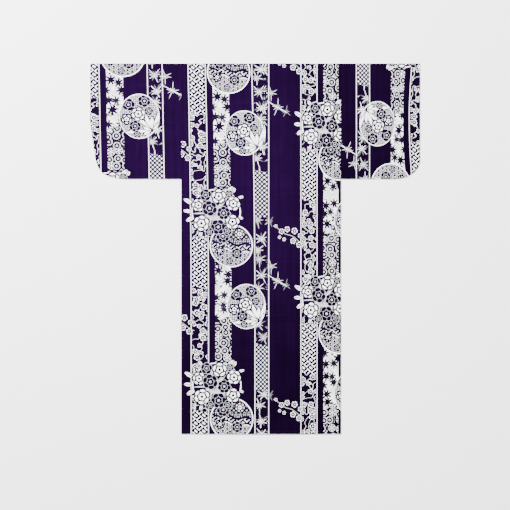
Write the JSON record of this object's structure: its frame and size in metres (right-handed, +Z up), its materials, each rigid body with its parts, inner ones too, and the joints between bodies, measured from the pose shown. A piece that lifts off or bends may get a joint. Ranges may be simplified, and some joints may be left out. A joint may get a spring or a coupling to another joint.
{
  "type": "cotton yukata robe laid flat",
  "caption": "Cotton yukata robe laid flat with its back upward, straight panels, square sleeves with rounded lower corners, striped floral print.",
  "frame": {"origin": "on the floor under the middle of the whole laid outline", "axes": "+X to the right as seen from above, +Y from the hem to the shoulder fold, +Z up out of the garment's back"},
  "size_m": [1.418, 1.593, 0.0074],
  "materials": {
    "printed_cotton": "dark violet-navy plain-weave cotton with a white printed stripe and flower pattern"
  },
  "bodies": {
    "root": {"body_left": "printed_cotton", "body_right": "printed_cotton", "okumi_left": "printed_cotton", "okumi_right": "printed_cotton", "sleeve_left": "printed_cotton", "sleeve_right": "printed_cotton", "collar": "printed_cotton"}
  },
  "joints": []
}
